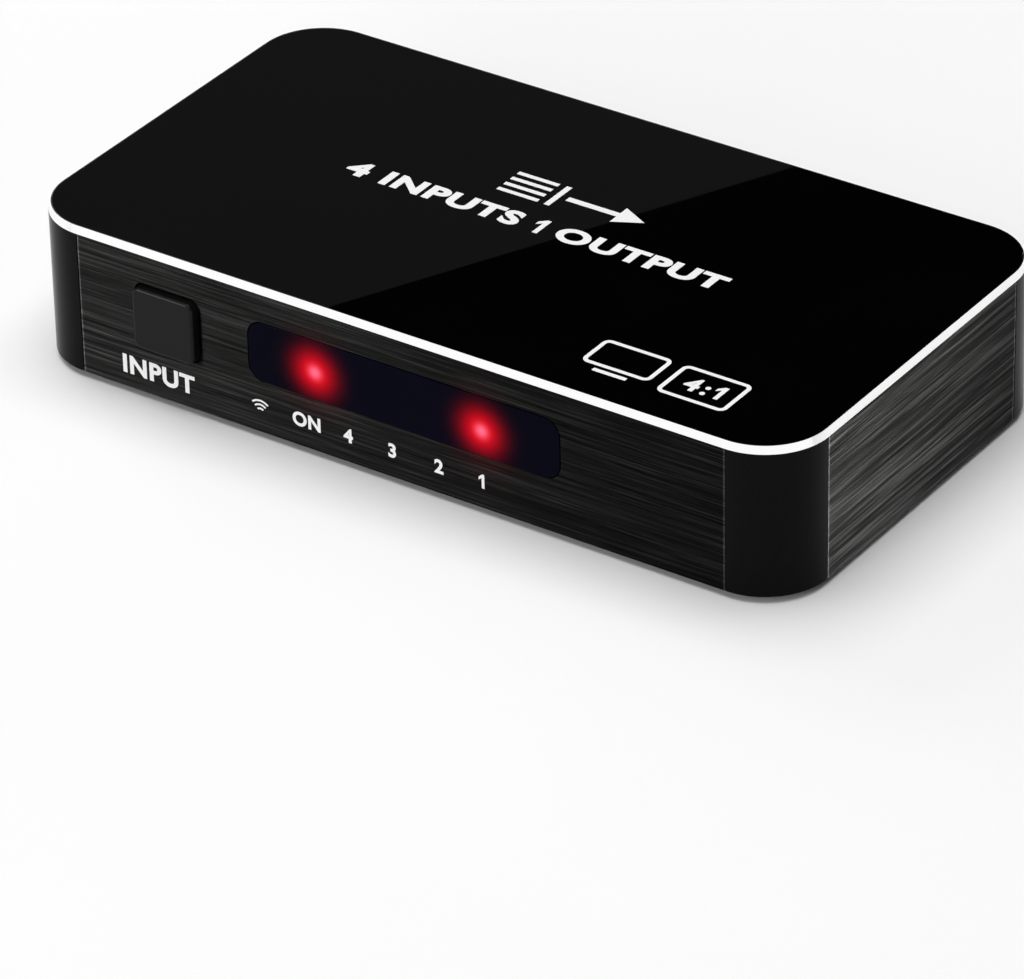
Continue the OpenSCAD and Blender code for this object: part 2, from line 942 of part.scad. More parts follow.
// A shallow spring cap whose rim stands on the floor of the switch's well
module switch_dome() {
    outer = dome_arc(dome_r, dome_h);
    inner = dome_arc(dome_r - dome_t, dome_h - dome_t);
    color("#d0d0cc")
        translate([button_x, switch_front + switch_well_d, button_cz])
            rotate([90, 0, 0])
                rotate_extrude()
                    polygon(concat(outer, [for (i = [dome_steps:-1:0]) inner[i]]));
}

module switch_plunger() {
    color("#8c2f2a") {
        behind_front(plunger_tip, plunger_l)
            circle(plunger_r);
        behind_front(switch_front + touch_gap, plunger_lip_t)
            circle(plunger_lip_r);
    }
}

module led_holder() {
    left = indicator_x(5) - led_holder_w / 2;
    right = indicator_x(1) + led_holder_w / 2;
    color("#191919")
        difference() {
            translate([left, led_holder_rear - led_holder_d, board_top])
                cube([right - left, led_holder_d, window_cz + led_holder_top - board_top]);
            for (i = [1:5])
                translate([indicator_x(i), led_holder_rear + cut, window_cz])
                    rotate([90, 0, 0])
                        cylinder(r = led_r + led_slack, h = led_holder_d + 2 * cut);
        }
}

// A round lens with a rim at its back and two bent leads
module indicator(i) {
    lead_y = led_holder_rear + led_rim_t + led_bend;
    translate([indicator_x(i), led_holder_rear, window_cz])
        rotate([90, 0, 0]) {
            translate([0, 0, -led_rim_t])
                cylinder(r = led_r + led_rim, h = led_rim_t);
            cylinder(r = led_r, h = led_lens_l);
            translate([0, 0, led_lens_l])
                sphere(led_r);
        }
    for (p = [-1, 1])
        translate([indicator_x(i) + p * led_pins, 0, 0]) {
            translate([0, lead_y, board_z - lead_out])
                cylinder(r = lead_r, h = window_cz - board_z + lead_out);
            translate([0, lead_y, window_cz])
                rotate([90, 0, 0])
                    cylinder(r = lead_r, h = led_bend + led_rim_t / 2);
        }
}

module power_led() {
    color("#c8201c")
        indicator(5);
}

module channel_led(i) {
    color("#c8201c")
        indicator(i);
}

module infrared_receiver() {
    eye_low = window_cz - eye_h / 2;
    color("#1c1614") {
        translate([eye_x - eye_w / 2, led_holder_rear - eye_d, eye_low])
            cube([eye_w, eye_d, eye_h]);
        translate([eye_x, led_holder_rear - eye_d, window_cz])
            sphere(eye_r);
        for (p = [-1:1])
            translate([eye_x + p * eye_pitch, led_holder_rear - eye_d / 2, board_z - lead_out])
                cylinder(r = lead_r, h = eye_low - board_z + lead_out + eye_h / 2);
    }
}

// A block standing on the board
module on_board(x, y, size) {
    translate([x - size.x / 2, y - size.y / 2, board_top])
        cube(size);
}

switch_chip_at = [-4, 1];
switch_chip_size = [9, 9, 0.9];
dot_r = 0.4;
dot_depth = 0.1;
dot_inset = 1;

module switch_chip() {
    color("#111111")
        difference() {
            on_board(switch_chip_at.x, switch_chip_at.y, switch_chip_size);
            translate([
                switch_chip_at.x + dot_inset - switch_chip_size.x / 2,
                switch_chip_at.y + dot_inset - switch_chip_size.y / 2,
                board_top + switch_chip_size.z - dot_depth
            ])
                cylinder(r = dot_r, h = dot_depth + cut);
        }
}

controller_in = 24.2;
controller_at = [board_right - controller_in, -1];
controller_size = [12.8, 7.5, 2];
controller_pins = 10;
controller_pitch = 1.27;
pin_w = 0.4;
pin_l = 1.4;
pin_t = 0.25;
pin_up = 1;

module controller_chip() {
    low = board_top + pin_t;
    color("#111111") {
        translate([controller_at.x - controller_size.x / 2, controller_at.y - controller_size.y / 2, low])
            cube(controller_size);
        for (i = [0:controller_pins - 1], s = [-1, 1]) {
            x = controller_at.x + (i - (controller_pins - 1) / 2) * controller_pitch;
            y = controller_at.y + s * (controller_size.y / 2 + pin_l / 2);
            translate([x - pin_w / 2, y - pin_l / 2, board_top])
                cube([pin_w, pin_l, pin_t]);
            translate([x - pin_w / 2, y - s * pin_l / 2 - pin_t, board_top])
                cube([pin_w, 2 * pin_t, pin_up]);
        }
    }
}

choke_part = [2, 1.2, 1];
choke_count = 4;
choke_pitch = 2.6;
choke_y = port_end - choke_part.y;
part_gap = 0.8;
can_in = 7;
can_pitch = 5.1;
can_count = 3;
can_r = 2;
can_h = 4.6;
can_base = [4.3, 4.3, 0.8];
can_y = choke_y - choke_part.y / 2 - part_gap - can_base.y / 2;
regulator_size = [6.5, 3.5, 1.6];
regulator_tab = [3, 1.6, 0.3];
regulator_in = 19.4;
regulator_rear = can_y - can_base.y / 2 - part_gap - regulator_tab.y;
regulator_at = [board_left + regulator_in, regulator_rear - regulator_size.y / 2];
regulator_pins = 3;
regulator_pitch = 2.3;

module voltage_regulator() {
    tab_y = regulator_at.y + regulator_size.y / 2;
    pin_y = regulator_at.y - regulator_size.y / 2;
    color("#131313") {
        on_board(regulator_at.x, regulator_at.y, regulator_size);
        translate([regulator_at.x - regulator_tab.x / 2, tab_y - regulator_tab.z, board_top])
            cube(regulator_tab);
        for (i = [0:regulator_pins - 1]) {
            x = regulator_at.x + (i - (regulator_pins - 1) / 2) * regulator_pitch;
            translate([x - pin_w, pin_y - pin_l, board_top])
                cube([2 * pin_w, pin_l + pin_t, pin_t]);
        }
    }
}

crystal_in = 10.2;
crystal_at = [board_right - crystal_in, controller_at.y];
crystal_size = [4.6, 11, 3.4];
crystal_base = 0.8;
crystal_rim = 0.4;

module crystal() {
    color("#c9c9c4")
        translate([crystal_at.x, crystal_at.y, board_top]) {
            linear_extrude(crystal_base)
                square([crystal_size.x + 2 * crystal_rim, crystal_size.y + 2 * crystal_rim], center = true);
            linear_extrude(crystal_size.z) {
                square([crystal_size.x, crystal_size.y - crystal_size.x], center = true);
                for (s = [-1, 1])
                    translate([0, s * (crystal_size.y - crystal_size.x) / 2])
                        circle(crystal_size.x / 2);
            }
        }
}

module bulk_capacitors() {
    color("#b9b9b4")
        for (i = [0:can_count - 1]) {
            x = board_left + can_in + i * can_pitch;
            on_board(x, can_y, can_base);
            translate([x, can_y, board_top])
                cylinder(r = can_r, h = can_h);
        }
}

chip_part = [1.6, 0.8, 0.5];
cap_part = [1.6, 0.8, 0.8];
row_pitch = 2.6;
cap_row = [-12, -6.5];
cap_count = 8;
resistor_row = [-12, 8.6];
resistor_count = 10;

module chip_capacitors() {
    color("#b08d5a")
        for (i = [0:cap_count - 1])
            on_board(cap_row.x + i * row_pitch, cap_row.y, cap_part);
}

module chip_resistors() {
    color("#1e1e22")
        for (i = [0:resistor_count - 1])
            on_board(resistor_row.x + i * row_pitch, resistor_row.y, chip_part);
}

module filter_chokes() {
    color("#2a2724")
        for (i = [1:4], j = [0:choke_count - 1])
            on_board(input_x(i) + (j - (choke_count - 1) / 2) * choke_pitch, choke_y, choke_part);
}

housing_shell();
front_plate();
rear_plate();
left_plate();
right_plate();
trim_ring();
top_panel();
top_panel_tape();
bottom_cover();
cover_screws();
rubber_feet();
indicator_window();
select_button();
circuit_board();
board_screws();
input_port_shell(1);  // input_port_1_shell
input_port_insulator(1);  // input_port_1_insulator
input_port_contacts(1);  // input_port_1_contacts
input_port_shell(2);  // input_port_2_shell
input_port_insulator(2);  // input_port_2_insulator
input_port_contacts(2);  // input_port_2_contacts
input_port_shell(3);  // input_port_3_shell
input_port_insulator(3);  // input_port_3_insulator
input_port_contacts(3);  // input_port_3_contacts
input_port_shell(4);  // input_port_4_shell
input_port_insulator(4);  // input_port_4_insulator
input_port_contacts(4);  // input_port_4_contacts
output_port_shell();
output_port_insulator();
output_port_contacts();
power_port_shell();
power_port_insulator();
power_port_contacts();
switch_base();
switch_cover();
switch_dome();
switch_plunger();
led_holder();
power_led();
channel_led(1);  // channel_led_1
channel_led(2);  // channel_led_2
channel_led(3);  // channel_led_3
channel_led(4);  // channel_led_4
infrared_receiver();
switch_chip();
controller_chip();
voltage_regulator();
crystal();
bulk_capacitors();
chip_capacitors();
chip_resistors();
filter_chokes();
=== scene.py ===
import math

import bmesh
import bpy
from mathutils import Matrix, Vector


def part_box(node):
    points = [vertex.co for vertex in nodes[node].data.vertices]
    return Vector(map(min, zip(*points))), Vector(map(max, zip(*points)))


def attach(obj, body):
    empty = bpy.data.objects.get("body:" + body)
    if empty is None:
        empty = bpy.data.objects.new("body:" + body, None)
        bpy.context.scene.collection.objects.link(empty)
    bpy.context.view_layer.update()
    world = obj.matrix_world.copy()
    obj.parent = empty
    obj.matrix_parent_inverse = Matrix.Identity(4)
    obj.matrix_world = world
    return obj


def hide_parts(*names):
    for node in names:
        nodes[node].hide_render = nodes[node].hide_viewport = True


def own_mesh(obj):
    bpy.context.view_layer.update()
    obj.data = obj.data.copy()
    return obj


# Looks of a four-input video switch box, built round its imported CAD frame
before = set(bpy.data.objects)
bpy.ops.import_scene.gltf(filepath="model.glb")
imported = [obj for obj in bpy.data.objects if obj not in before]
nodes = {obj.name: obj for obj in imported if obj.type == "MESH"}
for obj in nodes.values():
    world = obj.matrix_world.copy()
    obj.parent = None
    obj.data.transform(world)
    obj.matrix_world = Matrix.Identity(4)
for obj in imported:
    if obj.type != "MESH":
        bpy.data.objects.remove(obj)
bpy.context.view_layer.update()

MM = 0.001
X, Y, Z = Vector((1, 0, 0)), Vector((0, 1, 0)), Vector((0, 0, 1))

# Faces of the case, from the frame
FRONT_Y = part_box("front_plate")[0].y
REAR_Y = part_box("rear_plate")[1].y
LEFT_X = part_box("left_plate")[0].x
RIGHT_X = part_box("right_plate")[1].x
CASE_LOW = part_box("housing_shell")[0].z
TOP_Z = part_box("top_panel")[1].z
PLATE_END_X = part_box("front_plate")[1].x
PLATE_END_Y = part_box("right_plate")[1].y
WINDOW_Z = (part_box("indicator_window")[0].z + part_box("indicator_window")[1].z) / 2

# Places on the front round which the glow of the lit lamps is painted
LIT = [
    Vector((-10.32 * MM, FRONT_Y, WINDOW_Z - 0.3 * MM)),
    Vector((11.45 * MM, FRONT_Y, WINDOW_Z - 0.6 * MM)),
]

# Ink stands this far out of a face that is sunk by the same amount
INK = 0.02 * MM

# Faces that meet at more than this angle keep a hard edge between them
HARD = math.radians(40)

# Range that most of a noise pattern's values lie in
NOISE_LOW, NOISE_HIGH = 0.3, 0.7

# Video socket, measured from its middle at the mouth: up, and out of the case
SOCKET_HALF_HEIGHT = 2.65 * MM
SOCKET_FLOOR = -2.25 * MM
TONGUE_TOP = 1.15 * MM
TONGUE_FRONT = -1.2 * MM

# Camera of the photograph: a long lens, turned a little about its own axis
AZIMUTH = math.radians(34.7795)
ELEVATION = math.radians(31.6862)
ROLL = math.radians(-1.214)
DISTANCE = 729.886 * MM
TARGET = Vector((11.914 * MM, -22.187 * MM, CASE_LOW))
FOCAL_PIXELS = 6783.93
IMAGE_WIDTH = 1024
SENSOR = 36


# Materials

def new_material(name, roughness, metallic=0.0, specular=0.5):
    material = bpy.data.materials.new(name)
    material.use_nodes = True
    shader = shader_of(material)
    shader.inputs["Roughness"].default_value = roughness
    shader.inputs["Metallic"].default_value = metallic
    shader.inputs["Specular IOR Level"].default_value = specular
    return material


def shader_of(material):
    return material.node_tree.nodes["Principled BSDF"]


def add(material, kind, **settings):
    node = material.node_tree.nodes.new("ShaderNode" + kind)
    for name, value in settings.items():
        setattr(node, name, value)
    return node


def link(material, source, target):
    material.node_tree.links.new(source, target)


def placed(material, scale):
    """Object coordinates, counted in steps of the scale along X, Y and Z."""
    coordinates = add(material, "TexCoord")
    mapping = add(material, "Mapping", vector_type="TEXTURE")
    mapping.inputs["Scale"].default_value = scale
    link(material, coordinates.outputs["Object"], mapping.inputs["Vector"])
    return mapping.outputs["Vector"]


def noise(material, grain, detail=3.0):
    """A cloudy pattern whose grain is that long along X, Y and Z."""
    texture = add(material, "TexNoise")
    texture.inputs["Scale"].default_value = 1.0
    texture.inputs["Detail"].default_value = detail
    link(material, placed(material, grain), texture.inputs["Vector"])
    return texture.outputs["Fac"]


def tint(material, pattern, *stops):
    """Base colour from a pattern, through (position, colour) stops."""
    ramp = add(material, "ValToRGB")
    elements = ramp.color_ramp.elements
    while len(elements) < len(stops):
        elements.new(0.5)
    for element, (position, colour) in zip(elements, stops):
        element.position = position
        element.color = (*colour, 1.0)
    link(material, pattern, ramp.inputs["Fac"])
    link(material, ramp.outputs["Color"], shader_of(material).inputs["Base Color"])


def vary(material, socket, pattern, low, high):
    """Drives a number of the shader with a pattern, between two values."""
    spread = add(material, "MapRange")
    spread.inputs["From Min"].default_value = NOISE_LOW
    spread.inputs["From Max"].default_value = NOISE_HIGH
    spread.inputs["To Min"].default_value = low
    spread.inputs["To Max"].default_value = high
    link(material, pattern, spread.inputs["Value"])
    link(material, spread.outputs["Result"], shader_of(material).inputs[socket])


def relief(material, pattern, depth):
    """A shallow relief from a pattern, for marks too fine to model."""
    bump = add(material, "Bump")
    bump.inputs["Distance"].default_value = depth
    bump.inputs["Strength"].default_value = 1.0
    link(material, pattern, bump.inputs["Height"])
    link(material, bump.outputs["Normal"], shader_of(material).inputs["Normal"])


def cube_grain(size):
    return (size, size, size)


def grey(level):
    return (level, level, level)


def moulded(name, dark, light, roughness, grain, depth, specular=0.5):
    """Moulded plastic, rubber or ceramic: a fine grain with a slow change of sheen."""
    material = new_material(name, roughness, specular=specular)
    fine = noise(material, cube_grain(grain))
    tint(material, fine, (NOISE_LOW, dark), (NOISE_HIGH, light))
    vary(material, "Roughness", noise(material, cube_grain(14 * MM)), roughness - 0.05, roughness + 0.05)
    relief(material, fine, depth)
    return material


def plated(name, dark, light, roughness, grain):
    """Plated or drawn metal with fine marks along its grain."""
    material = new_material(name, roughness, metallic=1.0)
    marks = noise(material, grain)
    tint(material, marks, (NOISE_LOW, dark), (NOISE_HIGH, light))
    vary(material, "Roughness", marks, roughness - 0.06, roughness + 0.08)
    relief(material, marks, 0.002 * MM)
    return material


def housing_plastic():
    return moulded("housing_plastic", (0.0012, 0.0012, 0.0013), (0.002, 0.002, 0.0021), 0.24,
                   0.12 * MM, 0.0004 * MM, specular=0.055)


def near_end(material, along, end, beyond):
    """One within a hair of a plate's end, seen along one axis, and nought elsewhere."""
    offset = add(material, "Math", operation="ABSOLUTE")
    link(material, along, offset.inputs[0])
    rise = add(material, "MapRange", interpolation_type="SMOOTHSTEP")
    rise.inputs["From Min"].default_value = end - 0.3 * MM
    rise.inputs["From Max"].default_value = end - 0.05 * MM
    link(material, offset.outputs["Value"], rise.inputs["Value"])
    here = add(material, "Math", operation="LESS_THAN")
    here.inputs[1].default_value = beyond
    link(material, offset.outputs["Value"], here.inputs[0])
    both = add(material, "Math", operation="MULTIPLY")
    link(material, rise.outputs["Result"], both.inputs[0])
    link(material, here.outputs["Value"], both.inputs[1])
    return both.outputs["Value"]


def total(material, *values):
    """The sum of some patterns, each with its own share."""
    so_far = None
    for value, share in values:
        step = add(material, "Math", operation="MULTIPLY_ADD")
        step.inputs[1].default_value = share
        step.inputs[2].default_value = 0.0
        link(material, value, step.inputs[0])
        if so_far:
            link(material, so_far, step.inputs[2])
        so_far = step.outputs["Value"]
    return so_far


def fall_off(material, lamp, reach):
    """A soft round glow about a lamp: one at its middle, a third at its reach."""
    coordinates = add(material, "TexCoord")
    distance = add(material, "VectorMath", operation="DISTANCE")
    distance.inputs[1].default_value = lamp
    link(material, coordinates.outputs["Object"], distance.inputs[0])
    squared = add(material, "Math", operation="POWER")
    squared.inputs[1].default_value = 2.0
    link(material, distance.outputs["Value"], squared.inputs[0])
    scaled = add(material, "Math", operation="MULTIPLY")
    scaled.inputs[1].default_value = -1 / reach ** 2
    link(material, squared.outputs["Value"], scaled.inputs[0])
    fall = add(material, "Math", operation="EXPONENT")
    link(material, scaled.outputs["Value"], fall.inputs[0])
    return fall.outputs["Value"]


def lamp_light(material, lamps, colour, reach):
    """The light of the lit lamps in one colour, as far as it reaches."""
    glow = total(material, *((fall_off(material, lamp, reach), 1.0) for lamp in lamps))
    coloured = add(material, "VectorMath", operation="SCALE")
    coloured.inputs[0].default_value = colour
    link(material, glow, coloured.inputs["Scale"])
    return coloured.outputs["Vector"]


def shine(material, light):
    """Lets a material give off a pattern of light."""
    link(material, light, shader_of(material).inputs["Emission Color"])
    shader_of(material).inputs["Emission Strength"].default_value = 1.0


def brushed_plate(name, lamps, streak, dark, mid, light):
    """Black anodised sheet brushed lengthways: long streaks over hair lines, a painted highlight along its
    ends and a painted red glow round the lit lamps.
    """
    material = new_material(name, 0.45, metallic=1.0)
    streaks = noise(material, (30 * MM, 30 * MM, streak), detail=4.0)
    hairs = noise(material, (9 * MM, 9 * MM, 0.1 * MM), detail=2.0)
    place = add(material, "TexCoord")
    axes = add(material, "SeparateXYZ")
    link(material, place.outputs["Object"], axes.inputs["Vector"])
    # Painted highlight: the face is lighter within a hair of the plate's ends, where the edge catches light.
    ends = [near_end(material, axes.outputs["X"], PLATE_END_X, PLATE_END_X + 3 * MM),
            near_end(material, axes.outputs["Y"], PLATE_END_Y, PLATE_END_Y + 3 * MM)]
    grain = total(material, (streaks, 0.5), (hairs, 0.5))
    pattern = total(material, (grain, 1.0), (ends[0], 0.25), (ends[1], 0.25))
    tint(material, pattern, (0.38, (dark, dark, 0.97 * dark)), (0.5, (mid, mid, 0.97 * mid)),
         (0.62, (light, light, 0.98 * light)), (0.9, (0.1, 0.1, 0.098)))
    vary(material, "Roughness", grain, 0.44, 0.36)
    relief(material, hairs, 0.004 * MM)
    shader = shader_of(material)
    shader.inputs["Specular Tint"].default_value = (0.6, 0.6, 0.6, 1.0)
    shader.inputs["Anisotropic"].default_value = 1.0
    across = add(material, "CombineXYZ")
    across.inputs["Z"].default_value = 1.0
    link(material, across.outputs["Vector"], shader.inputs["Tangent"])
    # Painted glow: the red light of the lit lamps, painted onto the plate round the window.
    shine(material, lamp_light(material, lamps, (0.07, 0.002, 0.004), 3.3 * MM))
    return material


def bright_edge():
    """Polished cut edge with faint turning marks."""
    material = new_material("bright_edge", 0.12, metallic=1.0)
    marks = noise(material, (9 * MM, 9 * MM, 0.08 * MM))
    tint(material, marks, (NOISE_LOW, (0.94, 0.94, 0.945)), (NOISE_HIGH, grey(0.985)))
    vary(material, "Roughness", marks, 0.05, 0.1)
    return material


def gloss_sheet():
    """Mirror gloss black sheet with a trace of haze."""
    material = new_material("gloss_sheet", 0.03, specular=0.5)
    haze = noise(material, cube_grain(22 * MM), detail=5.0)
    tint(material, haze, (NOISE_LOW, (0.0002, 0.0002, 0.0003)), (NOISE_HIGH, (0.0005, 0.0005, 0.0007)))
    vary(material, "Roughness", haze, 0.004, 0.012)
    return material


def smoked_window(lamps):
    """Dark smoked sheet with the glow of the lit lamps behind it painted on, pale at their middles."""
    material = new_material("smoked_window", 0.1, specular=0.022)
    smoke = noise(material, cube_grain(9 * MM))
    tint(material, smoke, (NOISE_LOW, (0.0005, 0.0005, 0.0045)), (NOISE_HIGH, (0.001, 0.0009, 0.0066)))
    vary(material, "Roughness", smoke, 0.07, 0.13)
    # Painted glow of the lit lamps, a red halo with a pale middle, given off by the sheet itself.
    both = add(material, "VectorMath", operation="ADD")
    link(material, lamp_light(material, lamps, (0.97, 0.002, 0.011), 2.1 * MM), both.inputs[0])
    link(material, lamp_light(material, lamps, (0.2, 0.165, 0.26), 0.72 * MM), both.inputs[1])
    shine(material, both.outputs["Vector"])
    return material


def button_plastic():
    return moulded("button_plastic", (0.0036, 0.0036, 0.0035), (0.0048, 0.0048, 0.0047), 0.34,
                   0.08 * MM, 0.0012 * MM, specular=0.12)


def white_ink():
    return moulded("white_ink", grey(0.82), grey(0.93), 0.5, 0.2 * MM, 0.0004 * MM)


def cover_plastic():
    return moulded("cover_plastic", grey(0.008), grey(0.018), 0.6, 0.25 * MM, 0.012 * MM)


def lit_lens():
    """Red lamp lens, lit from inside."""
    material = moulded("lit_lens", (0.5, 0.01, 0.008), (0.8, 0.03, 0.02), 0.2, 0.6 * MM, 0.001 * MM)
    shader_of(material).inputs["Emission Color"].default_value = (1.0, 0.03, 0.03, 1.0)
    shader_of(material).inputs["Emission Strength"].default_value = 1.0
    return material


# Places on the faces

def on_face(right, up, place):
    """A frame that lays flat work on a face, with its own X along right and Y along up."""
    out = right.cross(up)
    turned = Matrix((right, up, out)).transposed().to_4x4()
    return Matrix.Translation(place) @ turned


def front_spot(x, z):
    return on_face(X, Z, Vector((x, FRONT_Y, z)))


def rear_spot(x, z):
    return on_face(-X, Z, Vector((x, REAR_Y, z)))


def left_spot(y, z):
    return on_face(-Y, Z, Vector((LEFT_X, y, z)))


def top_spot(x, y):
    return on_face(X, Y, Vector((x, y, TOP_Z)))


# Pieces

def finish_piece(bm, name, material, body="case", stands_for=()):
    """Makes a piece of a bmesh that is already in its place."""
    mesh = bpy.data.meshes.new(name)
    bm.to_mesh(mesh)
    bm.free()
    mesh.materials.append(material)
    piece = bpy.data.objects.new(name, mesh)
    bpy.context.scene.collection.objects.link(piece)
    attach(piece, body)
    if stands_for:
        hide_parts(*stands_for)
    return piece


def shade(bm):
    """Smooth faces, apart from the hard edges between them."""
    for face in bm.faces:
        face.smooth = True
    for edge in bm.edges:
        edge.smooth = edge.calc_face_angle(math.pi) < HARD


def keep_flats(piece):
    """Lets the large faces set the shading of the small ones beside them."""
    weighted = piece.modifiers.new("flats", "WEIGHTED_NORMAL")
    weighted.keep_sharp = True


def merged(node):
    """A CAD node's triangles joined into whole faces."""
    bm = bmesh.new()
    bm.from_mesh(nodes[node].data)
    bmesh.ops.remove_doubles(bm, verts=bm.verts, dist=0.001 * MM)
    bmesh.ops.dissolve_limit(bm, angle_limit=math.radians(0.5), verts=bm.verts, edges=bm.edges)
    return bm


def soften(bm, edge):
    """Rounds every hard edge."""
    hard = [e for e in bm.edges if e.calc_face_angle(0) > HARD]
    bmesh.ops.bevel(bm, geom=hard, offset=edge, offset_type="OFFSET", segments=3, profile=0.5,
                    affect="EDGES", material=-1, clamp_overlap=False)


def sink(bm, outward, face):
    """Moves the outer face of a plate in by the thickness of the ink on it."""
    for vertex in bm.verts:
        if abs(vertex.co.dot(outward) - face) < 0.001 * MM:
            vertex.co -= outward * INK


def dressed(node, material, edge=0.0, outward=None, face=0.0):
    """A softened copy of a CAD node, which stands for it."""
    bm = merged(node)
    if outward:
        sink(bm, outward, face)
    if edge:
        soften(bm, edge)
    shade(bm)
    piece = finish_piece(bm, node + "_dressed", material, stands_for=[node])
    keep_flats(piece)
    return piece


def trim_ring():
    """The bright edge: one crisp profile, swept round the case."""
    low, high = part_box("trim_ring")
    corner = high.x - PLATE_END_X
    bevel, land, flange, thick = 0.3 * MM, 0.15 * MM, 2.2 * MM, 0.3 * MM
    inner = corner - bevel - land
    outline = [(corner, low.z), (corner - bevel, high.z), (inner, high.z), (inner, low.z + thick),
               (corner - flange, low.z + thick), (corner - flange, low.z)]
    bm = bmesh.new()
    face = bm.faces.new([bm.verts.new((PLATE_END_X, -PLATE_END_Y - r, z)) for r, z in outline])
    bmesh.ops.delete(bm, geom=[face], context="FACES_ONLY")
    loop = bm.edges[:]
    corners_and_runs = [
        (1, -1, Y * PLATE_END_Y),
        (1, 1, -X * PLATE_END_X),
        (-1, 1, -Y * PLATE_END_Y),
        (-1, -1, X * PLATE_END_X),
    ]
    for x, y, onward in corners_and_runs:
        turned = bmesh.ops.spin(bm, geom=loop, cent=(x * PLATE_END_X, y * PLATE_END_Y, 0), axis=Z,
                                angle=math.pi / 2, steps=30)["geom_last"]
        loop = [e for e in turned if isinstance(e, bmesh.types.BMEdge)]
        grown = bmesh.ops.extrude_edge_only(bm, edges=loop)["geom"]
        ends = {v for v in grown if isinstance(v, bmesh.types.BMVert)}
        bmesh.ops.translate(bm, vec=2 * onward, verts=list(ends))
        loop = [e for e in grown if isinstance(e, bmesh.types.BMEdge) and ends.issuperset(e.verts)]
    bmesh.ops.remove_doubles(bm, verts=bm.verts, dist=0.001 * MM)
    bmesh.ops.recalc_face_normals(bm, faces=bm.faces)
    shade(bm)
    piece = finish_piece(bm, "trim_ring_dressed", bright_edge(), stands_for=["trim_ring"])
    keep_flats(piece)


def rounded_block(bm, low, high, corner, front_edge):
    """A block with rounded corners seen along Y, and a rounded rim on its front."""
    made = bmesh.ops.create_cube(bm, size=1.0)["verts"]
    bmesh.ops.scale(bm, vec=high - low, verts=made)
    bmesh.ops.translate(bm, vec=(low + high) / 2, verts=made)
    along = [e for e in bm.edges if e.verts[0] in made and abs((e.verts[0].co - e.verts[1].co).y) > 1e-9]
    bmesh.ops.bevel(bm, geom=along, offset=corner, offset_type="OFFSET", segments=8, profile=0.5,
                    affect="EDGES", material=-1)
    if front_edge:
        rim = [e for e in bm.edges if all(abs(v.co.y - low.y) < 1e-9 for v in e.verts)]
        bmesh.ops.bevel(bm, geom=rim, offset=front_edge, offset_type="OFFSET", segments=5, profile=0.5,
                        affect="EDGES", material=-1)


def mouth_of(port):
    """A frame at a video socket's mouth: X to the right and Y up as seen, Z out of the case."""
    low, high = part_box(port + "_shell")
    middle = (low + high) / 2
    middle.z = high.z - SOCKET_HALF_HEIGHT
    if port == "output_port":
        return left_spot(middle.y, middle.z) @ Matrix.Translation((0, 0, LEFT_X - low.x))
    return rear_spot(middle.x, middle.z) @ Matrix.Translation((0, 0, high.y - REAR_Y))


def bent_strip(bm, left, right, outline):
    """A bent strip between two sides, from its outline in (up, out) places."""
    face = bm.faces.new([bm.verts.new((left, up, out)) for up, out in outline])
    grown = bmesh.ops.extrude_face_region(bm, geom=[face], use_keep_orig=True)["geom"]
    moved = [v for v in grown if isinstance(v, bmesh.types.BMVert)]
    bmesh.ops.translate(bm, vec=(right - left, 0, 0), verts=moved)


def contact_tips():
    """The ends of the ten upper contacts, bent over the tongue's front edge."""
    half_width, behind = 0.2 * MM, TONGUE_FRONT - 0.7 * MM
    over, under = TONGUE_TOP + 0.02 * MM, TONGUE_TOP - 0.1 * MM
    proud, sunk, foot = TONGUE_FRONT + 0.04 * MM, TONGUE_FRONT - 0.1 * MM, TONGUE_TOP - 0.42 * MM
    outline = [(over, behind), (over, TONGUE_FRONT), (TONGUE_TOP - 0.02 * MM, proud), (foot, proud),
               (foot, sunk), (under, sunk), (under, behind)]
    bm = bmesh.new()
    for number in range(10):
        middle = (number - 4.5) * MM
        bent_strip(bm, middle - half_width, middle + half_width, outline)
    return bm


def spring_tabs():
    """Two bent tabs that rise from the shell's floor."""
    half_width, apart = 0.95 * MM, 2.3 * MM
    rise_and_out = [(0, -0.5), (0.4, -1.1), (0.45, -1.6), (0.3, -3.0), (0, -4.6)]
    outline = [(SOCKET_FLOOR + rise * MM, out * MM) for rise, out in rise_and_out]
    bm = bmesh.new()
    for middle in (-apart, apart):
        bent_strip(bm, middle - half_width, middle + half_width, outline)
    return bm


def socket_details(port, gold, steel):
    """What shows in a video socket's mouth."""
    mouth = mouth_of(port)
    for bm, name, material, slot in ((contact_tips(), "_contact_tips", gold, "contact_gold"),
                                     (spring_tabs(), "_spring_tabs", steel, "socket_steel")):
        bmesh.ops.transform(bm, matrix=mouth, verts=bm.verts)
        bmesh.ops.recalc_face_normals(bm, faces=bm.faces)
        bmesh.ops.bevel(bm, geom=bm.edges[:], offset=0.02 * MM, offset_type="OFFSET", segments=2, profile=0.5,
                        affect="EDGES", material=-1)
        shade(bm)
        finish_piece(bm, port + name, material)


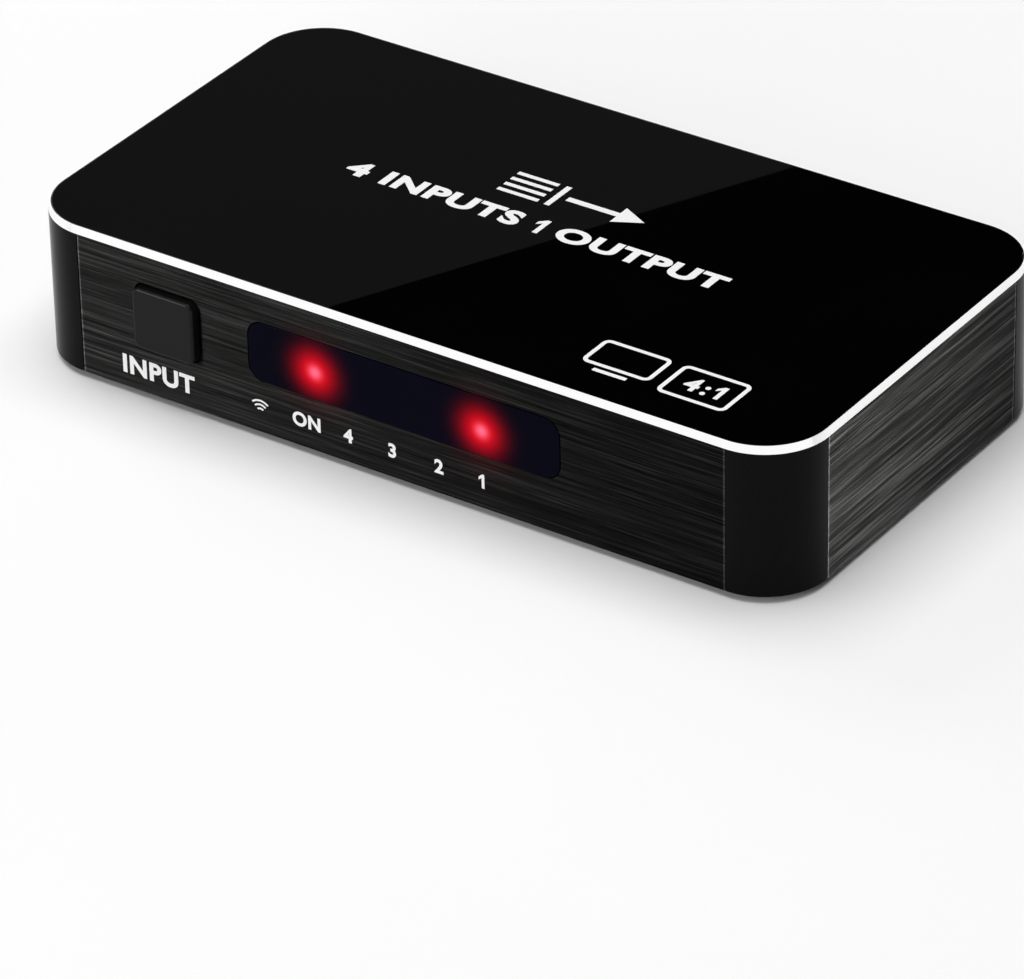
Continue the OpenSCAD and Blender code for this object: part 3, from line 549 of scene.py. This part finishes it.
def select_button():
    """Soft-edged square cap with its flange and stem."""
    low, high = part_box("select_button")
    lip = 1.1 * MM
    lip_front = FRONT_Y + 2.05 * MM
    lip_back = lip_front + 0.9 * MM
    stem = 2.0 * MM
    corner = 0.9 * MM
    front_edge = 0.38 * MM
    bm = bmesh.new()
    rounded_block(bm, Vector((low.x + lip, low.y, low.z + lip)),
                  Vector((high.x - lip, lip_front, high.z - lip)), corner, front_edge)
    flange = bmesh.new()
    rounded_block(flange, Vector((low.x, lip_front, low.z)), Vector((high.x, lip_back, high.z)), corner, 0)
    holder = bpy.data.meshes.new("flange")
    flange.to_mesh(holder)
    flange.free()
    bm.from_mesh(holder)
    bpy.data.meshes.remove(holder)
    middle = (low + high) / 2
    place = Matrix.Translation((middle.x, (lip_back + high.y) / 2, middle.z))
    place @= Matrix.Rotation(math.pi / 2, 4, "X")
    bmesh.ops.create_cone(bm, cap_ends=True, segments=48, radius1=stem, radius2=stem,
                          depth=high.y - lip_back, matrix=place)
    shade(bm)
    piece = finish_piece(bm, "button_cap", button_plastic(), body="button",
                         stands_for=["select_button"])
    keep_flats(piece)


# Ink on the faces

def font_mesh(words, weight):
    """Words as a solid mesh, one unit thick, on their base line."""
    curve = bpy.data.curves.new("words", "FONT")
    curve.body = words
    curve.offset = weight
    curve.space_character = 1.0 + 2.4 * weight
    curve.extrude = 0.5
    holder = bpy.data.objects.new("words", curve)
    bpy.context.scene.collection.objects.link(holder)
    mesh = bpy.data.meshes.new_from_object(holder)
    bpy.data.objects.remove(holder)
    bpy.data.curves.remove(curve)
    return mesh


def span(mesh, axis):
    """Lowest and highest place of a mesh along one axis."""
    places = [vertex.co[axis] for vertex in mesh.vertices]
    return min(places), max(places)


def words_mesh(words, height, weight, stretch):
    """Flat words from X nought on, centred on their capitals, from the ink's underside up to its face."""
    capital = font_mesh("I", weight)
    foot, head = span(capital, 1)
    bpy.data.meshes.remove(capital)
    mesh = font_mesh(words, weight)
    scale = height / (head - foot)
    middle = Vector((span(mesh, 0)[0], (foot + head) / 2, 0.5))
    mesh.transform(Matrix.Diagonal((scale * stretch, scale, INK, 1)) @ Matrix.Translation(-middle))
    return mesh


def inked(bm, corners):
    """A flat inked shape with these corners, in counterclockwise order."""
    face = bm.faces.new([bm.verts.new((x, y, 0)) for x, y in corners])
    thicken(bm, [face])


def thicken(bm, faces):
    """Gives flat faces that look up the ink's thickness, downwards."""
    grown = bmesh.ops.extrude_face_region(bm, geom=faces, use_keep_orig=True)["geom"]
    low = [v for v in grown if isinstance(v, bmesh.types.BMVert)]
    bmesh.ops.translate(bm, vec=(0, 0, -INK), verts=low)
    bmesh.ops.recalc_face_normals(bm, faces=bm.faces)


def one_mesh(height):
    """The numeral one: an upright with a flag."""
    wide, stroke, half = 0.42 * height, 0.2 * height, height / 2
    bm = bmesh.new()
    inked(bm, [(wide - stroke, -half), (wide, -half), (wide, half), (wide - 0.8 * stroke, half),
               (0, 0.26 * height), (0, 0.06 * height), (wide - stroke, 0.23 * height)])
    mesh = bpy.data.meshes.new("one")
    bm.to_mesh(mesh)
    bm.free()
    return mesh


def print_row(name, parts, height, spot, weight=0.012, stretch=1.0, gap=0.45):
    """A row of words and numeral ones, centred on its spot, with a gap as a share of the height."""
    bm = bmesh.new()
    gap *= height * stretch
    reach = -gap
    for part in parts:
        mesh = one_mesh(height) if part == 1 else words_mesh(part, height, weight, stretch)
        mesh.transform(Matrix.Translation((reach + gap, 0, 0)))
        reach = span(mesh, 0)[1]
        bm.from_mesh(mesh)
        bpy.data.meshes.remove(mesh)
    bmesh.ops.translate(bm, vec=(-reach / 2, 0, 0), verts=bm.verts)
    bmesh.ops.transform(bm, matrix=spot, verts=bm.verts)
    bmesh.ops.remove_doubles(bm, verts=bm.verts, dist=0.0001 * MM)
    finish_piece(bm, name, INK_WHITE)


def arc_stroke(bm, radius, width, half_angle):
    """An inked arc that opens to +Y, round the drawing's middle."""
    inner, outer = radius - width / 2, radius + width / 2
    ring = [bm.verts.new((r, 0, z)) for r, z in ((inner, 0), (outer, 0), (outer, -INK), (inner, -INK))]
    face = bm.faces.new(ring)
    bmesh.ops.rotate(bm, matrix=Matrix.Rotation(math.pi / 2 - half_angle, 3, "Z"), verts=ring)
    bmesh.ops.spin(bm, geom=[face], cent=(0, 0, 0), axis=(0, 0, 1), angle=2 * half_angle, steps=10)
    bmesh.ops.recalc_face_normals(bm, faces=bm.faces)


def receiver_mark(spot):
    """Three arcs, the plain sign for a remote receiver."""
    bm = bmesh.new()
    for radius in (0.55, 1.05, 1.55):
        arc_stroke(bm, radius * MM, 0.22 * MM, math.radians(42))
    bmesh.ops.transform(bm, matrix=spot, verts=bm.verts)
    finish_piece(bm, "receiver_mark", INK_WHITE)


def bar(bm, left, right, low, high):
    """A straight inked bar."""
    inked(bm, [(left, low), (right, low), (right, high), (left, high)])


def routing_sign(spot):
    """Four short bars, a gate and one arrow, drawn on the top."""
    bm = bmesh.new()
    thick, pitch = 0.6 * MM, 1.35 * MM
    for row in (-1.5, -0.5, 0.5, 1.5):
        middle = row * pitch
        bar(bm, -9.0 * MM, -3.6 * MM, middle - thick / 2, middle + thick / 2)
    bar(bm, -2.7 * MM, -2.0 * MM, -2.35 * MM, 2.35 * MM)
    tail, shaft, head, tip = -1.1 * MM, 0.42 * MM, 1.75 * MM, 9.0 * MM
    neck = tip - 3.4 * MM
    inked(bm, [(tail, -shaft), (neck, -shaft), (neck, -head), (tip, 0), (neck, head), (neck, shaft),
               (tail, shaft)])
    bmesh.ops.transform(bm, matrix=spot, verts=bm.verts)
    finish_piece(bm, "routing_sign", INK_WHITE)


def framed(bm, half_width, half_height, corner, line):
    """A rounded frame round the drawing's middle."""
    face = bm.faces.new([bm.verts.new((x * half_width, y * half_height, 0))
                         for x, y in ((-1, -1), (1, -1), (1, 1), (-1, 1))])
    bmesh.ops.bevel(bm, geom=list(face.verts), offset=corner, offset_type="OFFSET", segments=8, profile=0.5,
                    affect="VERTICES", material=-1)
    inner = max(bm.faces, key=lambda candidate: candidate.calc_area())
    ring = bmesh.ops.inset_region(bm, faces=[inner], thickness=line, use_boundary=True,
                                  use_even_offset=True)["faces"]
    bmesh.ops.delete(bm, geom=[inner], context="FACES")
    thicken(bm, ring)


def screen_sign(spot):
    """A plain screen on its stand."""
    bm = bmesh.new()
    framed(bm, half_width=4.3 * MM, half_height=2.6 * MM, corner=0.9 * MM, line=0.5 * MM)
    bar(bm, -2.1 * MM, 2.1 * MM, -3.7 * MM, -3.15 * MM)
    bmesh.ops.transform(bm, matrix=spot, verts=bm.verts)
    finish_piece(bm, "screen_sign", INK_WHITE)


def ratio_frame(spot):
    """The frame round the ratio of inputs to outputs."""
    bm = bmesh.new()
    framed(bm, half_width=4.3 * MM, half_height=3.1 * MM, corner=0.9 * MM, line=0.5 * MM)
    bmesh.ops.transform(bm, matrix=spot, verts=bm.verts)
    finish_piece(bm, "ratio_frame", INK_WHITE)


# The scene

def dress_case():
    """The walls, plates, trim, top, underside and feet."""
    long_plates = brushed_plate("brushed_long_plate", LIT, 0.34 * MM, dark=0.0025, mid=0.0072, light=0.0205)
    end_plates = brushed_plate("brushed_end_plate", LIT, 0.45 * MM, dark=0.0012, mid=0.0065, light=0.027)
    plate_edge = 0.07 * MM
    plastic = housing_plastic()
    dressed("housing_shell", plastic, edge=0.08 * MM)
    dressed("front_plate", long_plates, plate_edge, -Y, -FRONT_Y)
    dressed("rear_plate", long_plates, plate_edge, Y, REAR_Y)
    dressed("left_plate", end_plates, plate_edge, -X, -LEFT_X)
    dressed("right_plate", end_plates, plate_edge, X, RIGHT_X)
    trim_ring()
    dressed("top_panel", gloss_sheet(), 0.0, Z, TOP_Z)
    dressed("bottom_cover", cover_plastic(), 0.1 * MM)
    rubber = moulded("foot_rubber", grey(0.006), grey(0.014), 0.8, 0.3 * MM, 0.01 * MM)
    dressed("rubber_feet", rubber, 0.15 * MM)


def dress_window():
    dressed("indicator_window", smoked_window(LIT), 0.05 * MM)


def dress_sockets():
    sheet_grain = (3 * MM, 3 * MM, 0.2 * MM)
    steel = plated("socket_steel", (0.62, 0.62, 0.61), (0.8, 0.8, 0.79), 0.24, sheet_grain)
    black = moulded("socket_plastic", grey(0.0025), grey(0.006), 0.5, 0.15 * MM, 0.002 * MM,
                    specular=0.15)
    gold = plated("contact_gold", (0.78, 0.66, 0.42), (0.9, 0.8, 0.56), 0.22, cube_grain(0.3 * MM))
    inputs = [f"input_port_{number}" for number in range(1, 5)]
    for port in [*inputs, "output_port", "power_port"]:
        dressed(port + "_shell", steel, 0.05 * MM)
        nodes[port + "_insulator"].data.materials[0] = black
        nodes[port + "_contacts"].data.materials[0] = gold
        if port != "power_port":
            socket_details(port, gold, steel)


def flexing_dome(sheet):
    """The switch's dome, dressed, with a mesh of its own."""
    piece = dressed("switch_dome", sheet)
    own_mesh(piece)


def dress_inside():
    """Finishes of the pieces behind the walls."""
    steel = plated("screw_steel", grey(0.4), grey(0.6), 0.35, cube_grain(0.4 * MM))
    sheet = plated("switch_steel", (0.55, 0.55, 0.53), (0.72, 0.72, 0.7), 0.3, cube_grain(0.5 * MM))
    can = plated("can_metal", (0.55, 0.55, 0.54), (0.74, 0.74, 0.72), 0.3, (0.2 * MM, 0.2 * MM, 2 * MM))
    black = moulded("package_black", grey(0.006), grey(0.014), 0.55, 0.2 * MM, 0.004 * MM)
    finishes = {
        "cover_screws": steel,
        "board_screws": steel,
        "top_panel_tape": moulded("tape", (0.4, 0.4, 0.36), (0.55, 0.55, 0.5), 0.7, 1.0 * MM, 0.02 * MM),
        "circuit_board": moulded("solder_mask", (0.008, 0.1, 0.04), (0.02, 0.17, 0.07), 0.35,
                                 1.5 * MM, 0.01 * MM),
        "switch_base": black,
        "led_holder": black,
        "switch_cover": sheet,
        "switch_plunger": moulded("plunger_red", (0.22, 0.03, 0.025), (0.33, 0.06, 0.05), 0.45,
                                  0.3 * MM, 0.003 * MM),
        "power_led": lit_lens(),
        "infrared_receiver": moulded("receiver_dark", (0.008, 0.005, 0.004), (0.02, 0.013, 0.011), 0.2,
                                     0.5 * MM, 0.001 * MM),
        "switch_chip": black,
        "controller_chip": black,
        "voltage_regulator": black,
        "crystal": can,
        "bulk_capacitors": can,
        "chip_capacitors": moulded("ceramic_tan", (0.36, 0.25, 0.14), (0.5, 0.37, 0.23), 0.5,
                                   0.3 * MM, 0.004 * MM),
        "chip_resistors": moulded("ceramic_dark", (0.02, 0.02, 0.022), (0.05, 0.05, 0.055), 0.5,
                                  0.3 * MM, 0.004 * MM),
    }
    finishes["channel_led_1"] = finishes["power_led"]
    finishes["filter_chokes"] = finishes["chip_resistors"]
    unlit = moulded("unlit_lens", (0.24, 0.01, 0.008), (0.36, 0.03, 0.02), 0.2, 0.6 * MM, 0.001 * MM)
    for channel in (2, 3, 4):
        finishes[f"channel_led_{channel}"] = unlit
    for node, material in finishes.items():
        nodes[node].data.materials[0] = material
    flexing_dome(sheet)


def print_front():
    weight, small, large = 0.035, 1.75 * MM, 2.35 * MM
    button = (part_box("select_button")[0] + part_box("select_button")[1]) / 2
    button_spot = front_spot(button.x - 1.6 * MM, CASE_LOW + 2.95 * MM)
    print_row("button_label", ["INPUT"], large, button_spot, weight, stretch=1.05)
    label_z = CASE_LOW + 3.35 * MM
    for number, x in ((4, -6.16), (3, -0.36), (2, 5.76), (1, 11.31)):
        part = 1 if number == 1 else str(number)
        print_row(f"lamp_number_{number}", [part], small, front_spot(x * MM, label_z), weight)
    print_row("power_label", ["ON"], small, front_spot(-11.7 * MM, label_z), weight)
    receiver_mark(front_spot(-17.9 * MM, label_z - 0.9 * MM))


def print_sockets():
    side_weight = 0.02
    row_z = CASE_LOW + 13.6 * MM
    for number in range(1, 5):
        low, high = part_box(f"input_port_{number}_shell")
        spot = rear_spot((low.x + high.x) / 2, row_z)
        parts = ["IN", 1] if number == 1 else [f"IN {number}"]
        print_row(f"input_label_{number}", parts, 1.9 * MM, spot)
    print_row("output_label", ["OUT"], 2.0 * MM, left_spot(-8.5 * MM, row_z), side_weight)
    inlet_spot = left_spot(9.0 * MM, CASE_LOW + 12.7 * MM)
    print_row("power_inlet_label", ["DC IN"], 1.7 * MM, inlet_spot, side_weight)


def print_top():
    words_spot = top_spot(0, 0.3 * MM)
    print_row("top_words", ["4 INPUTS", 1, "OUTPUT"], 3.05 * MM, words_spot, weight=0.045, stretch=1.29)
    routing_sign(top_spot(1.0 * MM, 7.0 * MM))
    screen_sign(top_spot(24.6 * MM, -18.6 * MM))
    ratio_spot = top_spot(34.6 * MM, -19.1 * MM)
    ratio_frame(ratio_spot)
    print_row("ratio", ["4", ":", 1], 2.6 * MM, ratio_spot, weight=0.03, gap=0.22)


def make_floor():
    """A pale round sheet, see-through from below and for soft light, that fades into the white round it."""
    solid_to, clear_from, rim = 0.4, 0.9, 1.0
    bm = bmesh.new()
    bmesh.ops.create_circle(bm, cap_ends=True, segments=96, radius=rim)
    mesh = bpy.data.meshes.new("floor")
    bm.to_mesh(mesh)
    bm.free()
    floor = bpy.data.objects.new("floor", mesh)
    bpy.context.scene.collection.objects.link(floor)
    material = new_material("floor", 0.9, specular=0.0)
    clouds = noise(material, cube_grain(120 * MM))
    tint(material, clouds, (NOISE_LOW, grey(0.925)), (NOISE_HIGH, grey(0.95)))
    path = add(material, "LightPath")
    seen = total(material, (path.outputs["Is Camera Ray"], 1.0), (path.outputs["Is Glossy Ray"], 1.0),
                 (path.outputs["Is Transmission Ray"], 1.0))
    side = add(material, "NewGeometry")
    place = add(material, "TexCoord")
    distance = add(material, "VectorMath", operation="LENGTH")
    link(material, place.outputs["Object"], distance.inputs[0])
    solid = add(material, "MapRange", interpolation_type="SMOOTHSTEP")
    solid.inputs["From Min"].default_value = clear_from
    solid.inputs["From Max"].default_value = solid_to
    link(material, distance.outputs["Value"], solid.inputs["Value"])
    above = add(material, "Math", operation="SUBTRACT", use_clamp=True)
    link(material, seen, above.inputs[0])
    link(material, side.outputs["Backfacing"], above.inputs[1])
    shown = add(material, "Math", operation="MULTIPLY")
    link(material, above.outputs["Value"], shown.inputs[0])
    link(material, solid.outputs["Result"], shown.inputs[1])
    clear = add(material, "BsdfTransparent")
    choice = add(material, "MixShader")
    link(material, shown.outputs["Value"], choice.inputs["Fac"])
    link(material, clear.outputs["BSDF"], choice.inputs[1])
    link(material, shader_of(material).outputs["BSDF"], choice.inputs[2])
    link(material, choice.outputs["Shader"], material.node_tree.nodes["Material Output"].inputs["Surface"])
    mesh.materials.append(material)


def make_world():
    """White at and under the horizon, dark above it, with a soft zenith."""
    world = bpy.data.worlds.new("studio")
    world.use_nodes = True
    bpy.context.scene.world = world
    tree = world.node_tree
    direction = tree.nodes.new("ShaderNodeTexCoord")
    height = tree.nodes.new("ShaderNodeSeparateXYZ")
    spread = tree.nodes.new("ShaderNodeMapRange")
    spread.inputs["From Min"].default_value = -1.0
    spread.inputs["From Max"].default_value = 1.0
    ramp = tree.nodes.new("ShaderNodeValToRGB")
    stops = [(0.0, 1.0), (0.56, 1.0), (0.64, 0.004), (0.85, 0.004), (1.0, 0.4)]
    elements = ramp.color_ramp.elements
    while len(elements) < len(stops):
        elements.new(0.5)
    for element, (position, level) in zip(elements, stops):
        element.position = position
        element.color = (level, level, level, 1.0)
    tree.links.new(direction.outputs["Generated"], height.inputs["Vector"])
    tree.links.new(height.outputs["Z"], spread.inputs["Value"])
    tree.links.new(spread.outputs["Result"], ramp.inputs["Fac"])
    tree.links.new(ramp.outputs["Color"], tree.nodes["Background"].inputs["Color"])


def around(azimuth, elevation, distance):
    """A place about the box, turned from the front to the right and then up."""
    level = math.cos(elevation)
    return Vector((math.sin(azimuth) * level, -math.cos(azimuth) * level, math.sin(elevation))) * distance


def area_lamp(name, place, aim, width, depth, radiance, lean=Z):
    """A flat soft lamp that looks as bright as its radiance, its depth along the lean."""
    lamp = bpy.data.lights.new(name, "AREA")
    lamp.shape = "RECTANGLE"
    lamp.size = width
    lamp.size_y = depth
    lamp.energy = radiance * math.pi * width * depth
    holder = bpy.data.objects.new(name, lamp)
    back = (place - aim).normalized()
    across = lean.cross(back).normalized()
    turn = Matrix((across, back.cross(across), back)).transposed().to_4x4()
    holder.matrix_world = Matrix.Translation(place) @ turn
    holder.visible_camera = False
    bpy.context.scene.collection.objects.link(holder)
    return holder


def make_lamps():
    """Soft light from above, in front and behind, and the glints of the photograph."""
    middle = Vector((0, 0, 10 * MM))
    above = Vector((-0.1, 0, 1.2))
    in_front = around(math.radians(8), math.radians(28), 1.1)
    behind = around(math.radians(250), math.radians(30), 1.1)
    area_lamp("softbox", above, middle, 1.2, 1.2, radiance=2.9, lean=Y)
    area_lamp("front_fill", in_front, middle, 0.6, 0.6, radiance=3.0)
    area_lamp("rear_fill", behind, middle, 0.6, 0.6, radiance=1.7)
    # Tall panels that only glint along the brushed plates
    left_end = Vector((-PLATE_END_X, FRONT_Y, 10 * MM))
    left_place = left_end + Vector((-0.563, -0.744, 0.36)) * 0.55
    left_panel = area_lamp("left_panel", left_place, left_end, 0.12, 0.3, radiance=17.0,
                           lean=Vector((0, 0.445, 0.896)))
    right_end = Vector((RIGHT_X, -PLATE_END_Y, 10 * MM))
    right_place = right_end + Vector((0.63, 0.703, 0.33)) * 0.3
    right_panel = area_lamp("right_panel", right_place, right_end, 0.045, 0.18, radiance=55.0,
                            lean=Vector((-0.453, 0, 0.891)))
    for panel in (left_panel, right_panel):
        panel.visible_diffuse = False
    # A dim card whose edge crosses the reflection in the gloss top
    edge = Vector((0.437, 0.8994, 0))
    inward = Vector((-edge.y, edge.x, 0))
    card_width, card_depth = 500 * MM, 400 * MM
    centre = Vector((-355.7, 535.9, 384.0)) * MM + inward * card_depth / 2
    area_lamp("top_card", centre, centre - Z, card_width, card_depth, radiance=0.066, lean=inward)


def make_camera():
    """Looks from where the photograph was taken."""
    data = bpy.data.cameras.new("photo_camera")
    data.sensor_width = SENSOR
    data.lens = SENSOR * FOCAL_PIXELS / IMAGE_WIDTH
    data.clip_start = 0.01
    camera = bpy.data.objects.new("photo_camera", data)
    bpy.context.scene.collection.objects.link(camera)
    back = around(AZIMUTH, ELEVATION, 1.0)
    right = (-back).cross(Z).normalized()
    up = right.cross(-back)
    turned_right = right * math.cos(ROLL) + up * math.sin(ROLL)
    turned_up = up * math.cos(ROLL) - right * math.sin(ROLL)
    turn = Matrix((turned_right, turned_up, back)).transposed().to_4x4()
    camera.matrix_world = Matrix.Translation(TARGET + back * DISTANCE) @ turn
    bpy.context.scene.camera = camera


INK_WHITE = white_ink()
dress_case()
dress_window()
select_button()
dress_sockets()
dress_inside()
print_front()
print_sockets()
print_top()
make_floor()
make_world()
make_lamps()
make_camera()
bpy.context.scene.view_settings.view_transform = "Standard"
